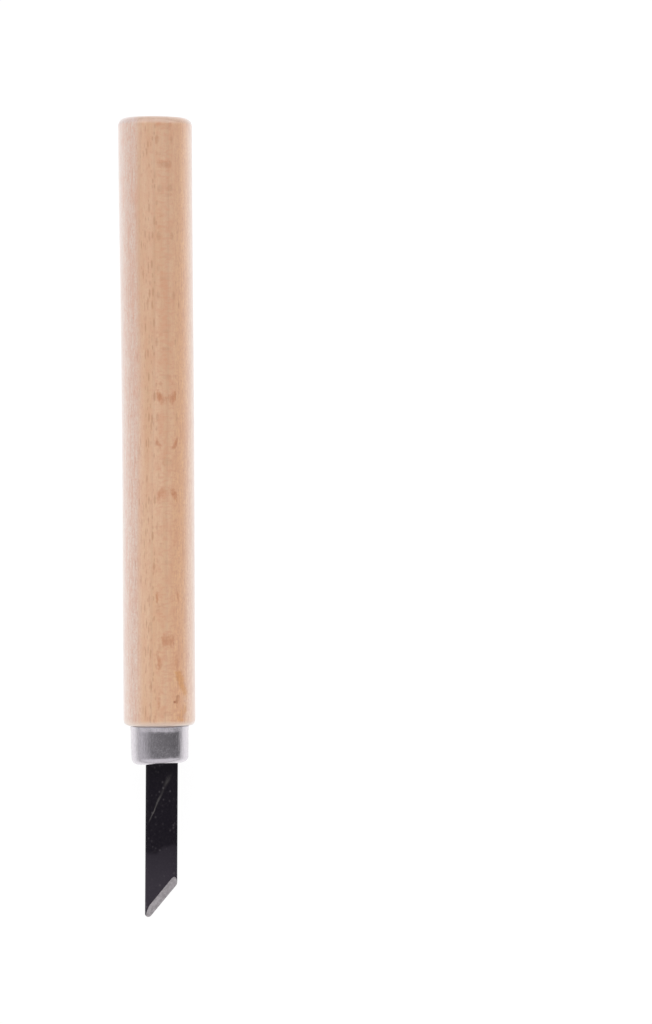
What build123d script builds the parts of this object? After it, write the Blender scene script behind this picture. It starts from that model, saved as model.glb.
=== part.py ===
"""Lino cutter: a fixed skew blade in a drawn ferrule on a turned beech handle.

The tool lies on a table with a broad face of its blade up. Z = 0 is the table. The handle runs
along Y, with its butt at +Y and the blade's tip at -Y, and the origin is on the table below the
middle of the whole tool. All sizes are in millimetres.
"""

from build123d import *
import math
import os

# ---- driving dimensions: whole tool ----
TOTAL_LENGTH = 139.2        # butt of the handle to the tip of the blade
BLADE_EXPOSED = 26.8        # tip to the outer face of the ferrule's end wall
FERRULE_LENGTH = 6.4        # open rim to the outer face of the end wall
RIM_GAP = 0.2               # the ferrule stops this far short of the handle's shoulder

# ---- driving dimensions: handle ----
HANDLE_DIAMETER = 12.6
BUTT_EDGE_RADIUS = 1.4
SHOULDER_EDGE_RADIUS = 1.0
SPIGOT_END_CHAMFER = 0.3
SPIGOT_END_GAP = 0.3        # between the spigot's end and the inside of the ferrule's end wall

# ---- driving dimensions: ferrule ----
FERRULE_DIAMETER = 10.1
FERRULE_WALL = 0.4
FERRULE_CORNER_RADIUS = 1.0
RIM_FLARE = 0.1             # how far the trimmed rim stands out
RIM_FLARE_LENGTH = 0.9
SLOT_CLEARANCE = 0.12       # round the blade, where it passes the end wall

# ---- driving dimensions: blade ----
BLADE_WIDTH = 5.6
BLADE_THICKNESS = 1.0
NOSE_WIDTH = 0.95           # the strip's long edges are half ellipses, this far across
SKEW_ANGLE = 39.3           # cutting edge to the blade's length, degrees
BEVEL_ANGLE = 19.4          # each ground face to the middle of the blade, degrees
EDGE_LAND = 0.04            # thickness left at the cutting edge
TIP_RADIUS = 0.6
HEEL_RADIUS = 1.1
TANG_LENGTH = 24.0          # inside the handle
TANG_END_WIDTH = 3.0
TANG_TAPER_LENGTH = 7.0
BLADE_OFFSET = 0.35         # the blade stands this far towards +X of the handle's axis
BLADE_LEAN = -0.75          # and leans back towards the axis at its tip, degrees

# ---- places that follow from them ----
HANDLE_RADIUS = HANDLE_DIAMETER / 2
AXIS_HEIGHT = HANDLE_RADIUS
FERRULE_RADIUS = FERRULE_DIAMETER / 2
SPIGOT_RADIUS = FERRULE_RADIUS - FERRULE_WALL
BUTT_Y = TOTAL_LENGTH / 2
TIP_Y = -TOTAL_LENGTH / 2
FERRULE_END_Y = TIP_Y + BLADE_EXPOSED
FERRULE_RIM_Y = FERRULE_END_Y + FERRULE_LENGTH
SHOULDER_Y = FERRULE_RIM_Y + RIM_GAP
SPIGOT_END_Y = FERRULE_END_Y + FERRULE_WALL + SPIGOT_END_GAP
TANG_END_Y = SPIGOT_END_Y + TANG_LENGTH


def revolved_along_y(outline):
    """Turn a closed outline, drawn as radius against Y, about the handle's axis."""
    solid = revolve(outline, Axis.Y)
    return Pos(0, 0, AXIS_HEIGHT) * solid


def quarter_round(centre, radius, start_angle):
    """A quarter circle, anticlockwise from start_angle."""
    return CenterArc(centre, radius, start_angle, 90)


def make_handle(blade):
    """A beech dowel with rounded ends, a turned-down spigot and a slot that the tang fills."""
    butt = (HANDLE_RADIUS - BUTT_EDGE_RADIUS, BUTT_Y - BUTT_EDGE_RADIUS)
    shoulder = (HANDLE_RADIUS - SHOULDER_EDGE_RADIUS, SHOULDER_Y + SHOULDER_EDGE_RADIUS)
    round_butt = quarter_round(butt, BUTT_EDGE_RADIUS, 0)
    round_shoulder = quarter_round(shoulder, SHOULDER_EDGE_RADIUS, 270)
    outline = Curve() + [
        Line(round_shoulder @ 1, round_butt @ 0),
        round_butt,
        Polyline(
            round_butt @ 1,
            (0, BUTT_Y),
            (0, SPIGOT_END_Y),
            (SPIGOT_RADIUS - SPIGOT_END_CHAMFER, SPIGOT_END_Y),
            (SPIGOT_RADIUS, SPIGOT_END_Y + SPIGOT_END_CHAMFER),
            (SPIGOT_RADIUS, SHOULDER_Y),
            round_shoulder @ 0,
        ),
        round_shoulder,
    ]
    return revolved_along_y(make_face(outline)) - blade


def make_ferrule(slot_cutter):
    """A drawn cap with an open, slightly flared rim and a slot through its end wall."""
    corner_y = FERRULE_END_Y + FERRULE_CORNER_RADIUS
    corner_r = FERRULE_RADIUS - FERRULE_CORNER_RADIUS
    inner_corner = FERRULE_CORNER_RADIUS - FERRULE_WALL
    outer = quarter_round((corner_r, corner_y), FERRULE_CORNER_RADIUS, 270)
    inner = quarter_round((corner_r, corner_y), inner_corner, 270)
    outline = Curve() + [
        Line((0, FERRULE_END_Y), outer @ 0),
        outer,
        Polyline(
            outer @ 1,
            (FERRULE_RADIUS, FERRULE_RIM_Y - RIM_FLARE_LENGTH),
            (FERRULE_RADIUS + RIM_FLARE, FERRULE_RIM_Y),
            (SPIGOT_RADIUS, FERRULE_RIM_Y),
            inner @ 1,
        ),
        inner,
        Polyline(inner @ 0, (0, FERRULE_END_Y + FERRULE_WALL), (0, FERRULE_END_Y)),
    ]
    return revolved_along_y(make_face(outline)) - slot_cutter


def placed_on_handle(solid):
    """Put a solid drawn about the origin, with the ferrule's end face at Y = 0, on the tool."""
    return Pos(BLADE_OFFSET, FERRULE_END_Y, AXIS_HEIGHT) * Rot(0, 0, BLADE_LEAN) * solid


def strip_section(clearance=0.0):
    """The blade's section: a flat strip whose long edges are half ellipses."""
    core_width = BLADE_WIDTH - 2 * NOSE_WIDTH
    thickness = BLADE_THICKNESS + 2 * clearance
    section = Rectangle(core_width, thickness)
    for side in (-1, 1):
        section += Pos(side * core_width / 2, 0) * Ellipse(NOSE_WIDTH + clearance, thickness / 2)
    return section


def make_strip(start_y, end_y, clearance=0.0):
    """A length of the blade's strip from start_y to end_y."""
    return extrude(Plane.XZ.offset(-end_y) * strip_section(clearance), end_y - start_y)


def blade_plan(sharp_tip_y, tang_end_y):
    """The blade seen from above: rounded tip and heel in front, tapered tang behind."""
    half = BLADE_WIDTH / 2
    heel_y = sharp_tip_y + BLADE_WIDTH / math.tan(math.radians(SKEW_ANGLE))
    taper_y = tang_end_y - TANG_TAPER_LENGTH
    corners = [
        (-half, sharp_tip_y),
        (half, heel_y),
        (half, taper_y),
        (TANG_END_WIDTH / 2, tang_end_y),
        (-TANG_END_WIDTH / 2, tang_end_y),
        (-half, taper_y),
    ]
    plan = make_face(Polyline(*corners, close=True))
    for corner, radius in ((corners[0], TIP_RADIUS), (corners[1], HEEL_RADIUS)):
        nearest = min(plan.vertices(), key=lambda v: math.dist((v.X, v.Y), corner))
        plan = fillet(nearest, radius)
    return plan


def bevel_cutter(sharp_tip_y):
    """The space above the upper ground face, which rises from the cutting edge."""
    run = 4 * BLADE_WIDTH
    rise = run * math.tan(math.radians(BEVEL_ANGLE))
    section = Polyline((0, 0), (run, rise), (-run, rise), (-run, 0), close=True)
    wedge = extrude(make_face(section), run, both=True)
    # stand the section up, then turn it until its X points into the blade, square to the edge
    wedge = Rot(0, 0, 180 - SKEW_ANGLE) * Rot(90, 0, 0) * wedge
    return Pos(-BLADE_WIDTH / 2, sharp_tip_y, EDGE_LAND / 2) * wedge


def make_blade():
    """A steel strip ground on both faces to a skew cutting edge, with a tapered tang."""
    tang_end_y = TANG_END_Y - FERRULE_END_Y
    tip_trim = TIP_RADIUS * (1 / math.tan(math.radians(SKEW_ANGLE / 2)) - 1)
    sharp_tip_y = -BLADE_EXPOSED - tip_trim
    strip = make_strip(sharp_tip_y, tang_end_y)
    blank = strip & extrude(blade_plan(sharp_tip_y, tang_end_y), BLADE_THICKNESS, both=True)
    upper = bevel_cutter(sharp_tip_y)
    return blank - upper - mirror(upper, Plane.XY)


def make_slot_cutter():
    """The punched slot in the ferrule's end wall: the strip's section with clearance all round."""
    return make_strip(-FERRULE_WALL, 2 * FERRULE_WALL, SLOT_CLEARANCE)


def main():
    blade = placed_on_handle(make_blade())
    nodes = {
        "handle": make_handle(blade),
        "ferrule": make_ferrule(placed_on_handle(make_slot_cutter())),
        "blade": blade,
    }
    os.makedirs("parts", exist_ok=True)
    for name, solid in nodes.items():
        export_step(solid, f"parts/{name}.step")


main()
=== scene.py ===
"""Looks of the lino cutter: a beech handle, a drawn ferrule and a black skew blade on a white table."""

import math

import bmesh
import bpy
import numpy as np
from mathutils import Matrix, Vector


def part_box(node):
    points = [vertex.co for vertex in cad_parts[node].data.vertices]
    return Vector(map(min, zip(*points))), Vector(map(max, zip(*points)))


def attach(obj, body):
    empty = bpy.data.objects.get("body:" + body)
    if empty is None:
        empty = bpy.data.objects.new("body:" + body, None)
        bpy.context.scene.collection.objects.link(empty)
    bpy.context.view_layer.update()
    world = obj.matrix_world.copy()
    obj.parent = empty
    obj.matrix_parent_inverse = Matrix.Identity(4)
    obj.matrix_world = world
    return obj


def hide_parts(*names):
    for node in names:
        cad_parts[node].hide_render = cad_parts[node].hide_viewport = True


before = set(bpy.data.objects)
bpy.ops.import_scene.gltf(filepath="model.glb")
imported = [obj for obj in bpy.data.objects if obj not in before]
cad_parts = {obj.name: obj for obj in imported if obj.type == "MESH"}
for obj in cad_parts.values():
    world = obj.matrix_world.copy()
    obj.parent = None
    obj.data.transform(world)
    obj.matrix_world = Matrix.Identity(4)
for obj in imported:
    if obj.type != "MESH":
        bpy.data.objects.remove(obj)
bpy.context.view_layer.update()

MM = 0.001

# ---- places, from the frame ----
HANDLE_LO, HANDLE_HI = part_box("handle")
FERRULE_LO, FERRULE_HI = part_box("ferrule")
HANDLE_RADIUS = (HANDLE_HI[0] - HANDLE_LO[0]) / 2
AXIS_HEIGHT = HANDLE_RADIUS
BUTT_Y = HANDLE_HI[1]
SPIGOT_END_Y = HANDLE_LO[1]
FERRULE_RIM_Y = FERRULE_HI[1]
FERRULE_END_Y = FERRULE_LO[1]

# ---- sizes that the frame's boxes don't give, as in the CAD source ----
BUTT_EDGE_RADIUS = 1.4 * MM
SHOULDER_EDGE_RADIUS = 1.0 * MM
SPIGOT_END_CHAMFER = 0.3 * MM
RIM_GAP = 0.2 * MM
RIM_FLARE = 0.1 * MM
RIM_FLARE_LENGTH = 0.9 * MM
FERRULE_WALL = 0.4 * MM
FERRULE_CORNER_RADIUS = 1.0 * MM
SLOT_CLEARANCE = 0.12 * MM
BLADE_EXPOSED = 26.8 * MM
BLADE_WIDTH = 5.6 * MM
BLADE_THICKNESS = 1.0 * MM
NOSE_WIDTH = 0.95 * MM
SKEW_ANGLE = math.radians(39.3)
BEVEL_ANGLE = math.radians(19.4)
EDGE_LAND = 0.04 * MM
TIP_RADIUS = 0.6 * MM
HEEL_RADIUS = 1.1 * MM
TANG_LENGTH = 24.0 * MM
TANG_END_WIDTH = 3.0 * MM
TANG_TAPER_LENGTH = 7.0 * MM
BLADE_OFFSET = 0.35 * MM
BLADE_LEAN = math.radians(-0.75)

FERRULE_RADIUS = (FERRULE_HI[0] - FERRULE_LO[0]) / 2 - RIM_FLARE
SPIGOT_RADIUS = FERRULE_RADIUS - FERRULE_WALL
SHOULDER_Y = FERRULE_RIM_Y + RIM_GAP
TANG_END = SPIGOT_END_Y + TANG_LENGTH - FERRULE_END_Y

# ---- how the hand-made pieces stray from the true shapes ----
HANDLE_BOW = 0.145 * MM               # the middle of the handle stands this far towards +X
HANDLE_SLIM = 0.04 * MM               # it is sanded this much under its radius at the shoulder
HANDLE_FLARE = 0.20 * MM              # and gains this much towards the butt
BUTT_SLANT = math.radians(0.7)        # the butt is sawn this far out of square
BUTT_SLANT_REACH = 6.0 * MM
FERRULE_END_SLANT = math.radians(2.4)  # the ferrule's end wall is pressed this far askew
FERRULE_END_TAPER = 0.08 * MM         # its end is pressed in by this much from above and below
FERRULE_END_SQUEEZE = 0.18 * MM       # and by this much from each side
SQUEEZE_LEAN = 0.35                   # the left side gives this share more, and the right side less
FERRULE_END_REACH = 3.6 * MM          # the end strays over this length

# ---- mesh density ----
AROUND = 192
ARC_STEPS = 10
NOSE_STEPS = 32
FLAT_STEPS = 28
BODY_RINGS = 90
FERRULE_SIDE_RINGS = 16
STRIP_RINGS = 24                      # from the tang's taper to the middle of the exposed strip
FRONT_RINGS = 13                      # from there to the ground faces
GROUND_RINGS = 9
MERGE_DISTANCE = 0.0001 * MM
TURNED_SHARP_ANGLE = 35               # in degrees: steeper edges are shaded sharp
GROUND_SHARP_ANGLE = 12


# ======================================================================================
# meshes
# ======================================================================================

def new_mesh(name, points, faces, sharp_angle, second_from=None):
    """A closed, smooth-shaded object. Faces from number second_from on take its second material."""
    mesh = bpy.data.meshes.new(name)
    mesh.from_pydata([tuple(p) for p in points], [], faces)
    if second_from is not None:
        for polygon in mesh.polygons[second_from:]:
            polygon.material_index = 1
    shell = bmesh.new()
    shell.from_mesh(mesh)
    bmesh.ops.remove_doubles(shell, verts=shell.verts, dist=MERGE_DISTANCE)
    bmesh.ops.recalc_face_normals(shell, faces=shell.faces)
    shell.to_mesh(mesh)
    shell.free()
    mesh.shade_smooth()
    mesh.set_sharp_from_angle(angle=math.radians(sharp_angle))
    made = bpy.data.objects.new(name, mesh)
    bpy.context.scene.collection.objects.link(made)
    return made


def band_faces(ring_count, around, joined_ends=False):
    """Quads between neighbouring rings, and between the last and the first if joined_ends."""
    faces = []
    last = ring_count if joined_ends else ring_count - 1
    for ring in range(last):
        here, there = ring * around, (ring + 1) % ring_count * around
        for j in range(around):
            k = (j + 1) % around
            faces.append((here + j, here + k, there + k, there + j))
    return faces


def circle(radius, y, around=AROUND):
    """A ring about the handle's axis. radius and y are numbers, or arrays with one value a point."""
    angle = np.arange(around) / around * 2 * math.pi
    x = radius * np.cos(angle)
    z = AXIS_HEIGHT + radius * np.sin(angle)
    return np.stack([x, np.broadcast_to(y, x.shape), z], axis=1)


def quarter(centre, radius, start, end):
    """Points (radius, y) on an arc about centre, with angles in degrees from the radius direction."""
    angles = np.radians(np.linspace(start, end, ARC_STEPS + 1))
    return [(centre[0] + radius * math.cos(a), centre[1] + radius * math.sin(a)) for a in angles]


def place_on_handle(x, y, z):
    """From the blade's own axes, with the ferrule's end face at y = 0, to the tool."""
    c, s = math.cos(BLADE_LEAN), math.sin(BLADE_LEAN)
    placed_x = BLADE_OFFSET + c * x - s * y
    placed_y = FERRULE_END_Y + s * x + c * y
    return np.stack([placed_x, placed_y, AXIS_HEIGHT + z], axis=1)


def slot_ring(y, clearance, width=BLADE_WIDTH):
    """The blade's section grown by clearance, met by rays from its centre at even angles."""
    angle = np.arange(AROUND) / AROUND * 2 * math.pi
    half_core = width / 2 - NOSE_WIDTH
    nose, half_height = NOSE_WIDTH + clearance, BLADE_THICKNESS / 2 + clearance
    across, up = np.abs(np.cos(angle)), np.abs(np.sin(angle))
    flat_reach = half_height / np.maximum(up, 1e-9)
    # where the ray meets the half ellipse: a s^2 - 2 b s + c = 0
    a = (across / nose) ** 2 + (up / half_height) ** 2
    b = across * half_core / nose ** 2
    c = (half_core / nose) ** 2 - 1
    nose_reach = (b + np.sqrt(np.maximum(b * b - a * c, 0))) / a
    reach = np.where(flat_reach * across <= half_core, flat_reach, nose_reach)
    return place_on_handle(reach * np.cos(angle), np.full(AROUND, y), reach * np.sin(angle))


def handle_shape(y):
    """The hand-sanded handle at y: how far its middle stands towards +X, and its radius."""
    part = np.clip((y - SHOULDER_Y) / (BUTT_Y - SHOULDER_Y), 0, 1)
    return HANDLE_BOW * np.sin(math.pi * part) ** 2, HANDLE_RADIUS - HANDLE_SLIM + HANDLE_FLARE * part ** 3


def sanded(ring):
    """A ring of the true handle, moved to its hand-sanded shape. It is no lower than it was."""
    x, y, z = ring.T
    middle, radius = handle_shape(y)
    growth = radius / HANDLE_RADIUS
    up = z - AXIS_HEIGHT
    near_butt = np.clip(1 - (BUTT_Y - y) / BUTT_SLANT_REACH, 0, 1)
    sanded_z = AXIS_HEIGHT + up * np.where(up > 0, growth, np.minimum(growth, 1))
    return np.stack([middle + x * growth, y - x * near_butt * math.tan(BUTT_SLANT), sanded_z], axis=1)


def make_handle():
    """Turned beech with rounded ends, the spigot under the ferrule and the tang's slot."""
    butt_centre = (HANDLE_RADIUS - BUTT_EDGE_RADIUS, BUTT_Y - BUTT_EDGE_RADIUS)
    shoulder_centre = (HANDLE_RADIUS - SHOULDER_EDGE_RADIUS, SHOULDER_Y + SHOULDER_EDGE_RADIUS)
    flat = butt_centre[0]
    outside = [(flat * part, BUTT_Y) for part in (0.25, 0.5, 0.75)]
    outside += quarter(butt_centre, BUTT_EDGE_RADIUS, 90, 0)
    body = np.linspace(butt_centre[1], shoulder_centre[1], BODY_RINGS)[1:-1]
    outside += [(HANDLE_RADIUS, y) for y in body]
    outside += quarter(shoulder_centre, SHOULDER_EDGE_RADIUS, 0, -90)
    spigot = [(SPIGOT_RADIUS, SHOULDER_Y), (SPIGOT_RADIUS, SPIGOT_END_Y + SPIGOT_END_CHAMFER)]
    spigot += [(SPIGOT_RADIUS - SPIGOT_END_CHAMFER, SPIGOT_END_Y)]
    rings = [sanded(circle(radius, y)) for radius, y in outside]
    rings += [circle(radius, y) for radius, y in spigot]
    mouth, taper = SPIGOT_END_Y - FERRULE_END_Y, TANG_END - TANG_TAPER_LENGTH
    rings += [slot_ring(mouth, 0), slot_ring(taper, 0), slot_ring(TANG_END, 0, TANG_END_WIDTH)]
    faces = band_faces(len(rings), AROUND)
    points = np.concatenate(rings)
    ends = np.array([[0, BUTT_Y, AXIS_HEIGHT], rings[-1].mean(axis=0)])
    butt, bottom = len(points), len(points) + 1
    first_of_last = (len(rings) - 1) * AROUND
    for j in range(AROUND):
        k = (j + 1) % AROUND
        faces.append((butt, k, j))
        faces.append((bottom, first_of_last + j, first_of_last + k))
    return new_mesh("beech_handle", np.concatenate([points, ends]), faces, TURNED_SHARP_ANGLE)


def rim_waver(angle):
    """How far the hand-trimmed rim strays towards the handle, by angle round it."""
    return MM * (0.07 + 0.03 * np.cos(angle) + 0.02 * np.sin(3 * angle + 1) + 0.015 * np.sin(7 * angle + 2))


def pressed(ring):
    """A ring of the true ferrule, with the trimmed rim's waver and the pressed end's strays."""
    x, y, z = ring.T
    up = z - AXIS_HEIGHT
    towards_rim = np.clip((y - FERRULE_END_Y) / (FERRULE_RIM_Y - FERRULE_END_Y), 0, 1)
    towards_end = np.clip(1 - (y - FERRULE_END_Y) / FERRULE_END_REACH, 0, 1)
    moved = towards_rim ** 3 * rim_waver(np.arctan2(up, x)) + towards_end * x * math.tan(FERRULE_END_SLANT)
    lowered = 1 - towards_end ** 2 * FERRULE_END_TAPER / FERRULE_RADIUS
    lean = 1 - SQUEEZE_LEAN * x / FERRULE_RADIUS
    narrowed = 1 - towards_end ** 2 * lean * FERRULE_END_SQUEEZE / FERRULE_RADIUS
    return np.stack([x * narrowed, y + moved, AXIS_HEIGHT + up * lowered], axis=1)


def make_ferrule():
    """A drawn cap: slotted end wall, rounded corner, straight side and a slightly flared rim."""
    corner = (FERRULE_RADIUS - FERRULE_CORNER_RADIUS, FERRULE_END_Y + FERRULE_CORNER_RADIUS)
    flare_start = FERRULE_RIM_Y - RIM_FLARE_LENGTH
    outside = [(corner[0] * part, FERRULE_END_Y) for part in (0.8, 0.9)]
    outside += quarter(corner, FERRULE_CORNER_RADIUS, -90, 0)
    side = np.linspace(corner[1], flare_start, FERRULE_SIDE_RINGS)[1:]
    outside += [(FERRULE_RADIUS, y) for y in side]
    for share in (0.3, 0.6, 1.0):
        outside.append((FERRULE_RADIUS + RIM_FLARE * share, flare_start + RIM_FLARE_LENGTH * share))
    inside = [(SPIGOT_RADIUS, FERRULE_RIM_Y), (SPIGOT_RADIUS, corner[1])]
    inside += quarter(corner, FERRULE_CORNER_RADIUS - FERRULE_WALL, 0, -90)[1:]
    rings = [slot_ring(0, SLOT_CLEARANCE)]
    rings += [circle(radius, y) for radius, y in outside + inside]
    rings += [slot_ring(FERRULE_WALL, SLOT_CLEARANCE)]
    points = np.concatenate([pressed(ring) for ring in rings])
    return new_mesh("drawn_ferrule", points, band_faces(len(rings), AROUND, True), TURNED_SHARP_ANGLE)


def section_points(width=BLADE_WIDTH):
    """The blade's section as x and z, anticlockwise from the right end of its upper flat."""
    half_core = width / 2 - NOSE_WIDTH
    half_height = BLADE_THICKNESS / 2
    flat = np.linspace(half_core, -half_core, FLAT_STEPS + 1)
    turn = np.linspace(math.pi / 2, 3 * math.pi / 2, NOSE_STEPS + 1)[1:-1]
    nose_x, nose_z = NOSE_WIDTH * np.cos(turn), half_height * np.sin(turn)
    level = np.full(flat.shape, half_height)
    x = np.concatenate([flat, nose_x - half_core, -flat, half_core - nose_x])
    z = np.concatenate([level, nose_z, -level, -nose_z])
    z[np.abs(z) < MERGE_DISTANCE] = 0
    return x, z


def zipped_end(first, around):
    """Faces that close a ring of the blade's section, joining each upper point to the one below."""
    def below(j):
        return (2 * FLAT_STEPS + NOSE_STEPS - j) % around

    faces = []
    start = around - NOSE_STEPS // 2
    for step in range(FLAT_STEPS + NOSE_STEPS):
        j, k = (start + step) % around, (start + step + 1) % around
        corners = dict.fromkeys((j, k, below(k), below(j)))
        faces.append([first + corner for corner in corners])
    return faces


def edge_outline(x):
    """y of the rounded outline at the cutting end, and of the straight cutting edge, by x."""
    half = BLADE_WIDTH / 2
    slope = 1 / math.tan(SKEW_ANGLE)
    sharp_tip = -BLADE_EXPOSED - TIP_RADIUS * (1 / math.tan(SKEW_ANGLE / 2) - 1)
    line = sharp_tip + (x + half) * slope
    outline = line
    tip, heel = (TIP_RADIUS - half, TIP_RADIUS, True), (half - HEEL_RADIUS, HEEL_RADIUS, False)
    for centre_x, radius, is_tip in (tip, heel):
        centre_y = sharp_tip + (centre_x + half) * slope + radius / math.sin(SKEW_ANGLE)
        arc = centre_y - np.sqrt(np.maximum(radius ** 2 - (x - centre_x) ** 2, 0))
        meets_line = centre_x + radius * math.cos(SKEW_ANGLE)
        outline = np.where(x < meets_line if is_tip else x > meets_line, arc, outline)
    return outline, line


def make_blade():
    """The strip from the tang's end to the two ground faces, which close on the cutting edge."""
    x, z = section_points()
    around = len(x)
    taper = TANG_END - TANG_TAPER_LENGTH
    middle = -BLADE_EXPOSED / 2
    outline, line = edge_outline(x)
    # the ground faces climb from the edge by this much for each step back along the blade
    climb = math.sin(SKEW_ANGLE) * math.tan(BEVEL_ANGLE)
    land = EDGE_LAND / 2
    front_z = np.sign(z) * np.minimum(np.abs(z), land + (outline - line) * climb)
    back_y = np.maximum(outline, line + (np.abs(z) - land) / climb)

    tang_x, tang_z = section_points(TANG_END_WIDTH)
    rings = [place_on_handle(tang_x, np.full(around, TANG_END), tang_z)]
    for y in np.linspace(taper, middle, STRIP_RINGS):
        rings.append(place_on_handle(x, np.full(around, y), z))
    for part in np.linspace(0, 1, FRONT_RINGS)[1:]:
        rings.append(place_on_handle(x, middle * (1 - part) + back_y * part, z))
    strip_rings = len(rings)
    for part in np.linspace(0, 1, GROUND_RINGS)[1:]:
        y = back_y * (1 - part) + outline * part
        rings.append(place_on_handle(x, y, z * (1 - part) + front_z * part))

    closing = zipped_end(0, around)
    faces = closing + band_faces(len(rings), around) + zipped_end((len(rings) - 1) * around, around)
    first_ground = len(closing) + (strip_rings - 1) * around
    return new_mesh("skew_blade", np.concatenate(rings), faces, GROUND_SHARP_ANGLE, first_ground)


# ======================================================================================
# materials
# ======================================================================================

class Shader:
    """The nodes of a material or a world, with short calls that add and join them."""

    def __init__(self, owner):
        owner.use_nodes = True
        self.owner = owner
        self.tree = owner.node_tree
        self.tree.nodes.clear()

    def node(self, kind, inputs=(), output=0, **settings):
        """Adds a node. inputs maps a socket's name or number to a value or to another node's output."""
        made = self.tree.nodes.new(kind)
        for key, value in settings.items():
            setattr(made, key, value)
        for key, value in dict(inputs).items():
            if isinstance(value, bpy.types.NodeSocket):
                self.tree.links.new(value, made.inputs[key])
            else:
                made.inputs[key].default_value = value
        return made.outputs[output] if made.outputs else None

    def math(self, operation, *values, clamp=False):
        return self.node("ShaderNodeMath", enumerate(values), operation=operation, use_clamp=clamp)

    def vector(self, x=0.0, y=0.0, z=0.0):
        return self.node("ShaderNodeCombineXYZ", {"X": x, "Y": y, "Z": z})

    def coordinates(self, output):
        """x, y and z of one output of the Texture Coordinate node."""
        split = self.tree.nodes.new("ShaderNodeSeparateXYZ")
        self.tree.links.new(self.node("ShaderNodeTexCoord", output=output), split.inputs[0])
        return split.outputs

    def position_mm(self):
        """x, y and z in millimetres in the tool's frame, with z from the handle's axis."""
        x, y, z = (self.math("DIVIDE", socket, MM) for socket in self.coordinates("Object"))
        return x, y, self.math("SUBTRACT", z, AXIS_HEIGHT / MM)

    def smooth_step(self, value, low, high):
        """0 at low and 1 at high, whichever of them is larger."""
        inputs = {"Value": value, "From Min": low, "From Max": high}
        return self.node("ShaderNodeMapRange", inputs, interpolation_type="SMOOTHSTEP")

    def noise(self, where, detail=2.0, roughness=0.5, distortion=0.0):
        inputs = {"Vector": where, "Scale": 1.0, "Detail": detail, "Roughness": roughness,
                  "Distortion": distortion}
        return self.node("ShaderNodeTexNoise", inputs, output="Fac")

    def cells(self, where):
        """Scattered cells: the distance to the middle of each, and a value drawn for each."""
        made = self.tree.nodes.new("ShaderNodeTexVoronoi")
        made.inputs["Scale"].default_value = 1.0
        self.tree.links.new(where, made.inputs["Vector"])
        drawn = self.tree.nodes.new("ShaderNodeSeparateColor")
        self.tree.links.new(made.outputs["Color"], drawn.inputs[0])
        return made.outputs["Distance"], drawn.outputs[0]

    def mix(self, amount, first, second, blend="MIX"):
        made = self.tree.nodes.new("ShaderNodeMix")
        made.data_type = "RGBA"
        made.blend_type = blend
        for key, value in (("Factor", amount), ("A", first), ("B", second)):
            socket = next(i for i in made.inputs if i.name == key and i.enabled)
            if isinstance(value, bpy.types.NodeSocket):
                self.tree.links.new(value, socket)
            else:
                socket.default_value = value
        return next(o for o in made.outputs if o.enabled)

    def bump(self, height, depth_mm, normal=None):
        inputs = {"Height": height, "Strength": 1.0, "Distance": depth_mm * MM}
        if normal is not None:
            inputs["Normal"] = normal
        return self.node("ShaderNodeBump", inputs)

    def surface(self, **inputs):
        """The Principled shader. Names are its sockets' names with _ for a space."""
        named = {key.replace("_", " "): value for key, value in inputs.items()}
        shader = self.node("ShaderNodeBsdfPrincipled", named)
        self.node("ShaderNodeOutputMaterial", {"Surface": shader})
        return self.owner


def new_shader(name):
    return Shader(bpy.data.materials.new(name))


def spread(m, first, second, third, sizes):
    """A texture position that makes features of the given sizes in three directions."""
    places = (first, second, third)
    return m.vector(*(m.math("DIVIDE", place, size) for place, size in zip(places, sizes)))


def grey(level):
    return (level, level, level, 1)


# ---- beech ----
GRAIN_TURN = math.radians(16.5)       # the quarter-sawn face is turned this far from the top towards +X
GRAIN_SLOPE = 0.016                   # and the grain drifts this much towards +X along the handle
PINK_DRIFT = 0.013                    # the pink sapwood's border drifts back by nearly as much
RING_START = -4.8                     # growth rings, in millimetres along the tree's radius
RING_STEP = 2.37
ZONE_BEND = 0.8                       # how far the borders of the zones of colour bend
BEECH_PALE = (0.94, 0.605, 0.375, 1)
BEECH_WARM = (0.88, 0.535, 0.30, 1)
BEECH_RING = (0.66, 0.38, 0.22, 1)
BEECH_FIBRE = (0.72, 0.33, 0.18, 1)
BEECH_PINK = (0.935, 0.745, 0.635, 1)
BEECH_HEART = (1.0, 0.585, 0.295, 1)
BEECH_OUTER = (1.0, 0.715, 0.515, 1)
BEECH_FLECK = (0.79, 0.36, 0.18, 1)
# The middle and the pink side pale a little from the butt to the ferrule, between these places.
FERRULE_END_TINT = (1.0, 1.03, 1.04, 1)
BUTT_END_TINT = (0.925, 0.935, 0.94, 1)
END_TINT_PLACES = (-35.0, 70.0)
LARGE_RAY_TINT = (0.80, 0.54, 0.37, 1)
SMALL_RAY_TINT = (0.80, 0.66, 0.55, 1)
STAIN_TINT = (0.90, 0.72, 0.37, 1)
END_GRAIN_TINT = (0.98, 0.86, 0.74, 1)
# painted shade: the surfaces that face the butt, towards the bright panel, are darkened and cooled
BUTT_FACING_PAINTED_SHADE = (0.77, 0.80, 0.89, 1)
# painted light: a paler band on the shoulder's rounded edge, where it faces the front light
SHOULDER_PAINTED_LIGHT = (1.0, 0.75, 0.57, 1)

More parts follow.
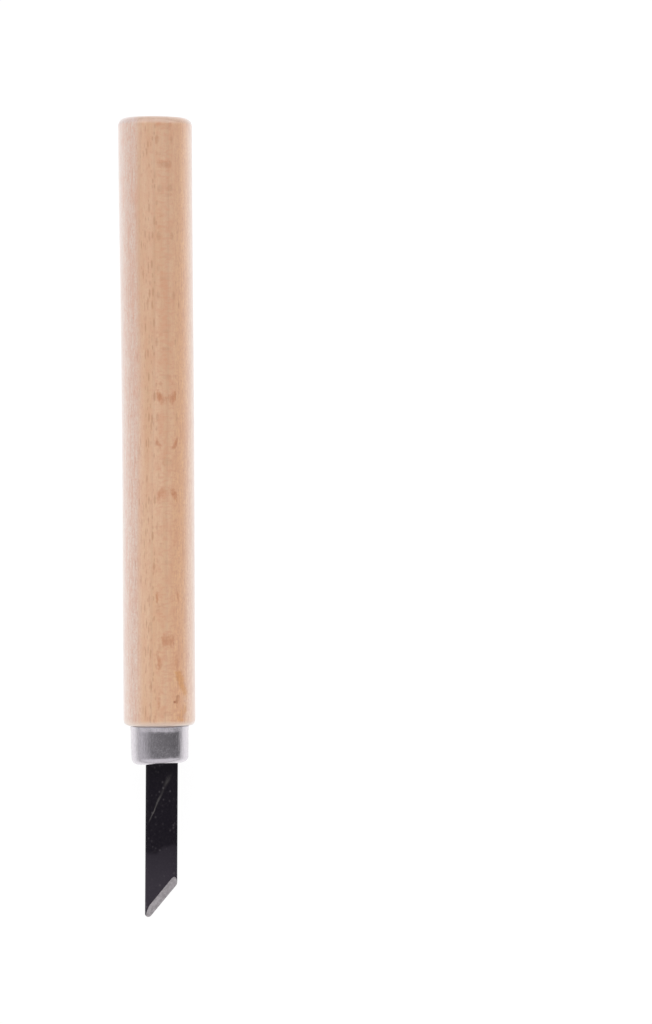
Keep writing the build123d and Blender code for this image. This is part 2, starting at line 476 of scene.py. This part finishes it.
# Rays that lie almost along the quarter face. Each shows as two flecks where the round surface cuts
# it twice, or as one bar where the cuts meet. In millimetres: place along the handle, half the
# distance between the flecks, how fast it dips towards the butt, half its height along the grain, its
# thickness, how sharply it ends between the flecks, and the strength of its left and right flecks.
LARGE_RAYS = (
    (67.9, 1.0, 0.02, 0.8, 0.08, 0.8, 0.35, 0.60),
    (61.2, 0.9, 0.02, 0.7, 0.08, 0.6, 0.50, 0.60),
    (55.9, 0.9, 0.05, 0.4, 0.06, 0.6, 0.25, 0.40),
    (50.2, 1.2, 0.02, 0.5, 0.06, 0.6, 0.20, 0.25),
    (20.9, 1.4, 0.06, 1.2, 0.11, 0.7, 1.00, 0.95),
    (12.9, 1.6, 0.09, 1.1, 0.09, 1.0, 0.55, 1.00),
    (4.0, 1.4, -0.07, 1.3, 0.09, 0.7, 0.60, 1.00),
    (-13.8, 1.9, 0.00, 1.1, 0.09, 1.0, 1.00, 0.75),
    (-21.3, 0.4, 0.01, 1.1, 0.11, 0.8, 0.80, 0.72),
    (-25.2, 1.65, 0.01, 1.3, 0.08, 0.7, 0.75, 0.58),
    (-32.4, 1.7, 0.00, 1.0, 0.08, 1.0, 0.65, 0.35),
)
# A spilt stain on the right near the ferrule: ends, half width and strength of each smear.
STAIN_SMEARS = (
    ((3.5, -27.1), (4.1, -28.9), 0.56, 0.88),
    ((4.0, -28.7), (4.6, -30.3), 0.42, 0.95),
    ((4.9, -29.8), (4.9, -31.5), 0.12, 0.50),
    ((4.7, -32.1), (4.5, -33.9), 0.12, 0.90),
    ((4.1, -33.5), (3.8, -35.1), 0.45, 0.50),
    ((4.15, -34.6), (4.05, -35.2), 0.18, 0.95),
)
SMEAR_WANDER = 1.5                    # how far the smears' borders wander
SMEAR_BLUR = 0.30
# A small dark spot beside the stain, and the ends of a paler tail on it.
KNOT_SPOT = (2.85, -31.95)
KNOT_SPOT_RADIUS = 0.20
KNOT_SPOT_TINT = (0.59, 0.30, 0.09, 1)
KNOT_TAIL = ((3.17, -31.95), (3.40, -30.95))
KNOT_TAIL_HALF_WIDTH = 0.27
KNOT_TAIL_STRENGTH = 0.58


def small_rays(m, tree, sizes, share, strength):
    """Scattered rays: thin ribbons along the grain and the tree's radius."""
    distance, drawn = m.cells(spread(m, *tree, sizes))
    spindle = m.smooth_step(distance, 0.34, 0.16)
    chosen = m.smooth_step(drawn, 1 - share, 1.35 - share)
    return m.math("MULTIPLY", m.math("MULTIPLY", spindle, chosen), strength)


def large_rays(m, radial, along, across):
    """The rays listed in LARGE_RAYS."""
    fray = m.noise(spread(m, radial, along, across, (0.35, 0.6, 0.35)), 2)
    fray = m.math("MULTIPLY_ADD", fray, 2.2, -1.1)
    side = m.smooth_step(radial, -0.5, 0.5)
    total = 0.0
    for place, half_gap, dip, half_height, thickness, inner, left, right in LARGE_RAYS:
        bow, radius = (float(value) / MM for value in handle_shape(place * MM))
        depth = half_gap ** 2 / (2 * radius)
        level = radius + (bow - GRAIN_SLOPE * place) * math.sin(GRAIN_TURN) - depth
        up = m.math("SUBTRACT", along, place)
        above = m.math("MULTIPLY_ADD", up, dip, m.math("SUBTRACT", across, level))
        off_plane = m.math("MAXIMUM", m.math("MULTIPLY", above, inner), m.math("MULTIPLY", above, -1))
        size = m.math("ADD", m.math("POWER", m.math("DIVIDE", up, half_height), 2), fray)
        size = m.math("ADD", size, m.math("POWER", m.math("DIVIDE", off_plane, thickness), 2))
        strength = m.math("MULTIPLY_ADD", side, right - left, left)
        ray = m.math("MULTIPLY", m.smooth_step(size, 1.5, -0.2), strength)
        total = m.math("MAXIMUM", total, ray)
    return total


def on_upper_side(m, marks, z):
    return m.math("MULTIPLY", marks, m.smooth_step(z, 0.0, 1.0))


def length_of(m, x, y):
    return m.math("SQRT", m.math("ADD", m.math("POWER", x, 2), m.math("POWER", y, 2)))


def away_from_line(m, x, y, start, end):
    """How far (x, y) is from the straight line between start and end."""
    run_x, run_y = end[0] - start[0], end[1] - start[1]
    dx, dy = m.math("SUBTRACT", x, start[0]), m.math("SUBTRACT", y, start[1])
    part = m.math("ADD", m.math("MULTIPLY", dx, run_x), m.math("MULTIPLY", dy, run_y))
    part = m.math("DIVIDE", part, run_x ** 2 + run_y ** 2, clamp=True)
    off_x = m.math("SUBTRACT", dx, m.math("MULTIPLY", part, run_x))
    off_y = m.math("SUBTRACT", dy, m.math("MULTIPLY", part, run_y))
    return length_of(m, off_x, off_y)


def stain(m, x, y, z):
    """The smears of STAIN_SMEARS, on the upper side only."""
    wander = m.noise(m.vector(x, y, 9.0), 4, 0.6)
    total = 0.0
    for start, end, half_width, strength in STAIN_SMEARS:
        away = away_from_line(m, x, y, start, end)
        away = m.math("MULTIPLY_ADD", wander, SMEAR_WANDER, m.math("SUBTRACT", away, SMEAR_WANDER / 2))
        inside = m.smooth_step(away, half_width + SMEAR_BLUR, half_width - SMEAR_BLUR)
        smear = m.math("MULTIPLY", inside, strength)
        total = m.math("MAXIMUM", total, smear)
    return on_upper_side(m, total, z)


def knot_spot(m, x, y, z):
    """One small dark spot beside the stain, with a paler tail towards it."""
    away = length_of(m, m.math("SUBTRACT", x, KNOT_SPOT[0]), m.math("SUBTRACT", y, KNOT_SPOT[1]))
    spot = m.smooth_step(away, KNOT_SPOT_RADIUS * 1.5, KNOT_SPOT_RADIUS * 0.6)
    away = away_from_line(m, x, y, *KNOT_TAIL)
    tail = m.smooth_step(away, KNOT_TAIL_HALF_WIDTH * 1.6, KNOT_TAIL_HALF_WIDTH * 0.4)
    spot = m.math("MAXIMUM", spot, m.math("MULTIPLY", tail, KNOT_TAIL_STRENGTH))
    return on_upper_side(m, spot, z)


def tree_directions(m, x, y, z):
    """Places in millimetres along the tree's radius, along its grain and across its rays."""
    c, s = math.cos(GRAIN_TURN), math.sin(GRAIN_TURN)
    drifted = m.math("MULTIPLY_ADD", y, -GRAIN_SLOPE, x)
    radial = m.math("SUBTRACT", m.math("MULTIPLY", drifted, c), m.math("MULTIPLY", z, s))
    across = m.math("ADD", m.math("MULTIPLY", drifted, s), m.math("MULTIPLY", z, c))
    return radial, y, across


def growth_colour(m, tree):
    """Growth rings and zones of colour along the tree's radius, and how coarse the grain is there."""
    radial, along = tree[:2]
    streak = m.noise(spread(m, *tree, (1.1, 34, 1.1)), 3)
    ring_bend = m.noise(spread(m, *tree, (5, 40, 5)), 1)
    ring_place = m.math("DIVIDE", m.math("SUBTRACT", radial, RING_START), RING_STEP)
    ring_place = m.math("ADD", ring_place, m.math("MULTIPLY_ADD", ring_bend, 0.5, -0.25))
    ring = m.math("POWER", m.math("FRACT", ring_place), 6)
    bent_radial = m.math("MULTIPLY_ADD", ring_bend, ZONE_BEND, radial)
    pink_side = m.smooth_step(m.math("MULTIPLY_ADD", along, PINK_DRIFT, bent_radial), -3.6, -4.8)
    heart_side = m.smooth_step(bent_radial, 0.2, 2.8)
    outer_side = m.smooth_step(bent_radial, 3.3, 5.0)

    colour = m.mix(m.smooth_step(streak, 0.34, 0.66), BEECH_PALE, BEECH_WARM)
    for zone, share, tone in (
        (ring, 0.32, BEECH_RING),
        (pink_side, 0.87, BEECH_PINK),
        (heart_side, 0.85, BEECH_HEART),
        (outer_side, 0.75, BEECH_OUTER),
    ):
        colour = m.mix(m.math("MULTIPLY", zone, share), colour, tone)
    end_tint = m.mix(m.smooth_step(along, *END_TINT_PLACES), FERRULE_END_TINT, BUTT_END_TINT)
    colour = m.mix(m.smooth_step(radial, 2.6, 1.6), colour, end_tint, "MULTIPLY")
    coarseness = m.math("MULTIPLY_ADD", heart_side, 1.4, m.math("MULTIPLY_ADD", pink_side, 1.3, 1.0))
    return colour, coarseness


def with_fine_grain(m, colour, tree, fibre, pore, coarseness, at_quarter_face):
    """The colour under fine lines, fibres, pores and a mottling that is stronger on the quarter face."""
    line = m.noise(spread(m, *tree, (0.34, 9.0, 0.34)), 2)
    mottle = m.noise(spread(m, *tree, (1.1, 0.42, 0.26)), 2)
    cloud = m.noise(spread(m, *tree, (1.6, 2.6, 1.2)), 2)
    patchiness = m.math("MULTIPLY_ADD", at_quarter_face, 1.2, 1.0)
    for texture, low, high, amount, weight, tone in (
        (line, 0.44, 0.72, 0.19, coarseness, BEECH_FLECK),
        (fibre, 0.42, 0.72, 0.26, coarseness, BEECH_FIBRE),
        (pore, 0.44, 0.70, 0.20, coarseness, BEECH_FIBRE),
        (mottle, 0.44, 0.70, 0.24, patchiness, BEECH_FLECK),
        (cloud, 0.46, 0.70, 0.20, patchiness, BEECH_FLECK),
    ):
        strength = m.math("MULTIPLY", m.math("MULTIPLY", m.smooth_step(texture, low, high), amount), weight)
        colour = m.mix(strength, colour, tone)
    return colour


def ray_dashes(m, tree, at_quarter_face):
    """Small rays of two sizes, fainter on the quarter face."""
    long_dashes = small_rays(m, tree, (14, 3.2, 0.28), 0.50, 0.9)
    short_dashes = small_rays(m, tree, (9, 1.6, 0.20), 0.62, 0.7)
    dashes = m.math("MAXIMUM", long_dashes, short_dashes)
    return m.math("MULTIPLY", dashes, m.math("MULTIPLY_ADD", at_quarter_face, -0.6, 1.0))


def handle_wood():
    """Lacquered beech as a solid texture in the tree's own directions, so that the rays show as thin
    dashes where the handle is flat-sawn and as broad flecks where it is quarter-sawn."""
    m = new_shader("beech_satin_lacquer")
    x, y, z = m.position_mm()
    tree = tree_directions(m, x, y, z)
    across = tree[2]
    at_quarter_face = m.smooth_step(across, 5.85, 6.15)
    fibre = m.noise(spread(m, *tree, (0.16, 1.7, 0.16)), 3, 0.6)
    pore = m.noise(spread(m, *tree, (0.22, 0.46, 0.22)), 2)
    facing_butt = m.coordinates("Normal")[1]

    colour, coarseness = growth_colour(m, tree)
    colour = with_fine_grain(m, colour, tree, fibre, pore, coarseness, at_quarter_face)
    for marks, tint in (
        (ray_dashes(m, tree, at_quarter_face), SMALL_RAY_TINT),
        (large_rays(m, *tree), LARGE_RAY_TINT),
        (stain(m, x, y, z), STAIN_TINT),
        (knot_spot(m, x, y, z), KNOT_SPOT_TINT),
        # painted shade on the surfaces that face the butt
        (m.smooth_step(facing_butt, 0.0, 0.45), BUTT_FACING_PAINTED_SHADE),
        (m.smooth_step(facing_butt, 0.80, 0.97), END_GRAIN_TINT),
    ):
        colour = m.mix(marks, colour, tint, "MULTIPLY")
    # painted light on the shoulder's rounded edge
    shoulder_painted_light = m.smooth_step(y, SHOULDER_Y / MM + 1.1, SHOULDER_Y / MM + 0.1)
    colour = m.mix(m.math("MULTIPLY", shoulder_painted_light, 0.9), colour, SHOULDER_PAINTED_LIGHT)

    lacquer = m.bump(fibre, 0.010)
    lacquer = m.bump(pore, 0.006, lacquer)
    gloss = m.math("MULTIPLY_ADD", fibre, 0.14, 0.38)
    return m.surface(
        Base_Color=colour,
        Roughness=gloss,
        Normal=lacquer,
        Specular_IOR_Level=1.0,
        Coat_Weight=1.0,
        Coat_Roughness=0.32,
        Coat_IOR=1.8,
        Sheen_Weight=0.85,
        Sheen_Roughness=0.50,
    )


# ---- drawn metal ----
DRAWN_DULL = (0.62, 0.59, 0.625, 1)
DRAWN_BRIGHT = (0.71, 0.675, 0.715, 1)


def ferrule_metal():
    """Bright drawn aluminium: a fine crystalline grain and faint scores along the draw."""
    m = new_shader("bright_drawn_metal")
    x, y, z = m.position_mm()
    turn = m.math("MULTIPLY", m.math("ARCTAN2", x, z), FERRULE_RADIUS / MM)

    def grain_of(width, length, detail, seed, distortion=0.0):
        where = m.vector(m.math("DIVIDE", turn, width), m.math("DIVIDE", y, length), seed)
        return m.noise(where, detail, 0.6, distortion)

    crystals = grain_of(0.24, 0.62, 3, 0.0, 0.9)
    scores = grain_of(0.16, 7.0, 2, 3.0)
    dents = grain_of(2.0, 2.6, 1, 7.0)
    normal = m.bump(dents, 0.05)
    normal = m.bump(crystals, 0.020, normal)
    normal = m.bump(scores, 0.024, normal)
    tone = m.mix(m.smooth_step(crystals, 0.3, 0.7), DRAWN_DULL, DRAWN_BRIGHT)
    gloss = m.math("MULTIPLY_ADD", crystals, 0.12, 0.11)
    return m.surface(Base_Color=tone, Metallic=1.0, Roughness=gloss, Normal=normal)


# ---- blade steel ----
OXIDE_BLACK = (0.0028, 0.0006, 0.0058, 1)
# the grey of worn oxide, also used as painted light towards the tip
OXIDE_WORN_AND_PAINTED_LIGHT = (0.037, 0.031, 0.043, 1)
BARE_SPECK = (0.110, 0.100, 0.110, 1)
GROUND_DULL = (0.40, 0.375, 0.385, 1)
GROUND_BRIGHT = (0.56, 0.53, 0.54, 1)
GROUND_LINE = (0.28, 0.26, 0.27, 1)
SCRATCH_TONE = (0.105, 0.098, 0.096, 1)
SCRATCH_MIDDLE = (-0.1, -48.9)        # where its middle lies, in millimetres in the tool's frame
SCRATCH_LEAN = 0.455                  # sideways for each step along the blade
SCRATCH_REACH = 4.6
SCRATCH_FAINT_PLACE = 1.4             # it is faintest this far from its middle, towards the ferrule
SCRATCH_FAINTNESS = 0.62              # and loses this share of its strength there
SCRATCH_HALF_WIDTH = 0.15             # at its outer end
SCRATCH_WIDENING = 0.30               # and this much more near the ferrule


def scratch_on_flat(m, x, y, z):
    """A long rub across the upper flat, broad near the ferrule and narrow further out."""
    along = m.math("SUBTRACT", y, SCRATCH_MIDDLE[1])
    off_line = m.math("SUBTRACT", m.math("MULTIPLY_ADD", along, -SCRATCH_LEAN, x), SCRATCH_MIDDLE[0])
    wander = m.noise(m.vector(0.0, m.math("DIVIDE", y, 1.8), 5.0), 2)
    off_line = m.math("ABSOLUTE", m.math("ADD", off_line, m.math("MULTIPLY_ADD", wander, 0.4, -0.2)))
    widening = m.smooth_step(along, -2.0, 4.0)
    half_width = m.math("MULTIPLY_ADD", widening, SCRATCH_WIDENING, SCRATCH_HALF_WIDTH)
    near = m.smooth_step(m.math("DIVIDE", off_line, half_width), 1.3, 0.2)
    within = m.smooth_step(m.math("ABSOLUTE", along), SCRATCH_REACH, SCRATCH_REACH - 1.6)
    streaks = m.noise(m.vector(m.math("DIVIDE", off_line, 0.09), m.math("DIVIDE", y, 1.5), 2.0), 2)
    broken = m.smooth_step(streaks, 0.25, 0.60)
    fading = m.math("MULTIPLY_ADD", m.smooth_step(along, 5.0, -3.0), 0.5, 0.5)
    from_faint = m.math("ABSOLUTE", m.math("SUBTRACT", along, SCRATCH_FAINT_PLACE))
    marks = m.math("MULTIPLY_ADD", m.smooth_step(from_faint, 1.8, 0.5), -SCRATCH_FAINTNESS, 1.0)
    for share in (near, within, broken, fading, m.smooth_step(z, 0.2, 0.4)):
        marks = m.math("MULTIPLY", marks, share)
    return marks


def blade_oxide():
    """Black oxide on rolled strip, greyer towards the cutting end, with specks and a scratch. The greying
    is partly wear in patches and partly painted light that grows away from the handle's shadow.
    """
    m = new_shader("black_oxide_steel")
    x, y, z = m.position_mm()
    dust = m.noise(spread(m, x, y, z, (0.20, 0.26, 1)), 3, 0.7)
    cloud = m.noise(spread(m, x, y, z, (1.5, 2.4, 1)), 3)
    rolled = m.noise(spread(m, x, y, z, (0.10, 5.0, 1)), 2)
    worn_edge = m.math("ADD", m.smooth_step(x, 1.0, -1.0), y)
    worn_edge = m.math("MULTIPLY_ADD", cloud, 1.2, worn_edge)
    worn = m.smooth_step(worn_edge, -56.3, -57.3)
    # half painted light, greyer towards the tip away from the handle's shadow, and half worn patches
    wear_and_painted_light = m.math("MULTIPLY_ADD", m.smooth_step(y, -56.0, -65.0), 0.5, m.math("MULTIPLY", worn, 0.5))
    colour = m.mix(wear_and_painted_light, OXIDE_BLACK, OXIDE_WORN_AND_PAINTED_LIGHT)
    colour = m.mix(m.math("MULTIPLY", m.smooth_step(dust, 0.45, 0.80), 0.12), colour, BARE_SPECK)

    distance, drawn = m.cells(spread(m, x, y, z, (0.62, 0.74, 0.80)))
    frayed = m.math("MULTIPLY_ADD", dust, 0.25, m.math("SUBTRACT", distance, 0.10))
    specks = m.smooth_step(frayed, 0.46, 0.12)
    for share in (m.smooth_step(drawn, 0.30, 1.0), m.smooth_step(cloud, 0.40, 0.60)):
        specks = m.math("MULTIPLY", specks, share)
    colour = m.mix(m.math("MULTIPLY", specks, 0.65), colour, BARE_SPECK)
    colour = m.mix(scratch_on_flat(m, x, y, z), colour, SCRATCH_TONE)
    normal = m.bump(rolled, 0.003)
    normal = m.bump(dust, 0.006, normal)
    gloss = m.math("MULTIPLY_ADD", dust, 0.20, 0.26)
    return m.surface(Base_Color=colour, Roughness=gloss, Normal=normal, Specular_IOR_Level=0.28)


def ground_steel():
    """The ground faces: bare steel with fine lines square to the cutting edge."""
    m = new_shader("ground_bare_steel")
    x, y, z = m.position_mm()
    c, s = math.cos(SKEW_ANGLE), math.sin(SKEW_ANGLE)
    along_edge = m.math("ADD", m.math("MULTIPLY", x, s), m.math("MULTIPLY", y, c))
    from_edge = m.math("SUBTRACT", m.math("MULTIPLY", y, s), m.math("MULTIPLY", x, c))
    line = m.noise(spread(m, along_edge, from_edge, z, (0.06, 0.9, 1)), 3, 0.6)
    patch = m.noise(spread(m, along_edge, from_edge, z, (0.6, 0.5, 1)), 2)
    tone = m.mix(m.smooth_step(patch, 0.3, 0.7), GROUND_DULL, GROUND_BRIGHT)
    tone = m.mix(m.math("MULTIPLY", m.smooth_step(line, 0.4, 0.7), 0.3), tone, GROUND_LINE)
    gloss = m.math("MULTIPLY_ADD", line, 0.15, 0.34)
    return m.surface(Base_Color=tone, Metallic=1.0, Roughness=gloss, Normal=m.bump(line, 0.004))


# ======================================================================================
# the object
# ======================================================================================

def finish_piece(piece, node, material_slot, *materials):
    """Gives a piece its materials and lets it stand for its CAD node."""
    for material in materials:
        piece.data.materials.append(material)
    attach(piece, "root")
    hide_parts(node)


finish_piece(make_handle(), "handle", "beech", handle_wood())
finish_piece(make_ferrule(), "ferrule", "ferrule_metal", ferrule_metal())
finish_piece(make_blade(), "blade", "blade_steel", blade_oxide(), ground_steel())


# ======================================================================================
# table, light and camera
# ======================================================================================

TABLE_HALF = 4.0                      # it reaches this far on each side
TABLE_SEEN = 0.92                     # how bright it is to the camera
TABLE_GLOW = 1.06                     # and as a light
TABLE_TONE = 0.14
# how bright the walls are, by degrees from straight up, to the left below zero
WALL_LEVELS = (
    (-100, 0.80), (-85, 0.66), (-55, 0.44), (-42, 0.32), (-32, 0.24),
    (0, 0.20), (55, 0.16), (78, 0.15), (100, 0.35),
)
WALL_TINT = (0.98, 0.97, 1.0)
FRONT_GLOW = (0.79, 0.78, 0.80, 1)
BACK_GLOW = (1.56, 1.50, 1.50, 1)
CAMERA_DISTANCE = 0.850
SENSOR_WIDTH = 36.0                   # in millimetres, as Blender takes it
FRAME_SPAN = 0.1785
LOOK_AT = (0.0293, 0.00077)           # x and y of the middle of the frame
CAMERA_ROLL = math.radians(-0.44)


def make_table():
    """A white light table. As on a real one, little light leaves it at a grazing angle, but the
    camera sees it evenly white."""
    corners = [(x * TABLE_HALF, y * TABLE_HALF, 0) for x, y in ((-1, -1), (1, -1), (1, 1), (-1, 1))]
    mesh = bpy.data.meshes.new("table")
    mesh.from_pydata(corners, [], [(0, 1, 2, 3)])
    table = bpy.data.objects.new("table", mesh)
    bpy.context.scene.collection.objects.link(table)
    m = new_shader("white_light_table")
    held_back = m.node("ShaderNodeFresnel", {"IOR": 1.5})
    seen = m.node("ShaderNodeLightPath", output="Is Camera Ray")
    let_out = m.math("MULTIPLY", m.math("SUBTRACT", 1.0, held_back), TABLE_GLOW)
    glow = m.math("MULTIPLY_ADD", seen, m.math("SUBTRACT", TABLE_SEEN, let_out), let_out)
    table.data.materials.append(m.surface(
        Base_Color=grey(TABLE_TONE),
        Roughness=0.9,
        Specular_IOR_Level=0.0,
        Emission_Color=grey(1.0),
        Emission_Strength=glow,
    ))


def make_world():
    """The studio round the table: dark overhead, paler walls, a pale front beyond the blade, and a
    broad bright panel beyond the handle's butt. The camera sees white."""
    world = bpy.data.worlds.new("studio")
    bpy.context.scene.world = world
    m = Shader(world)
    x, y, z = m.coordinates("Generated")
    lean = m.math("DEGREES", m.math("ARCTAN2", x, z))
    ramp = m.tree.nodes.new("ShaderNodeValToRGB")
    reach = WALL_LEVELS[-1][0]
    m.tree.links.new(m.math("DIVIDE", m.math("ADD", lean, reach), 2 * reach), ramp.inputs[0])
    stops = ramp.color_ramp.elements
    while len(stops) < len(WALL_LEVELS):
        stops.new(0.5)
    for stop, (degrees, level) in zip(stops, WALL_LEVELS):
        stop.position = (degrees + reach) / (2 * reach)
        stop.color = [level * share for share in WALL_TINT] + [1]
    front = m.smooth_step(y, -0.12, -0.28)
    lit = m.mix(front, ramp.outputs[0], FRONT_GLOW)
    back = m.math("MULTIPLY", m.smooth_step(y, 0.20, 0.42), m.smooth_step(z, 0.05, 0.20))
    lit = m.mix(m.math("MULTIPLY", back, m.smooth_step(z, 0.95, 0.85)), lit, BACK_GLOW)
    direct = m.node("ShaderNodeLightPath", output="Is Camera Ray")
    shown = m.mix(direct, lit, grey(1.0))
    m.node("ShaderNodeOutputWorld", {"Surface": m.node("ShaderNodeBackground", {"Color": shown})})


def make_camera():
    """Straight down on the table. The frame's long side spans FRAME_SPAN at the handle's axis."""
    lens = bpy.data.cameras.new("camera")
    lens.sensor_width = SENSOR_WIDTH
    lens.lens = SENSOR_WIDTH * CAMERA_DISTANCE / FRAME_SPAN
    camera = bpy.data.objects.new("camera", lens)
    bpy.context.scene.collection.objects.link(camera)
    camera.location = (LOOK_AT[0], LOOK_AT[1], AXIS_HEIGHT + CAMERA_DISTANCE)
    camera.rotation_euler = (0, 0, CAMERA_ROLL)
    bpy.context.scene.camera = camera


make_table()
make_world()
make_camera()
bpy.context.scene.view_settings.view_transform = "Standard"
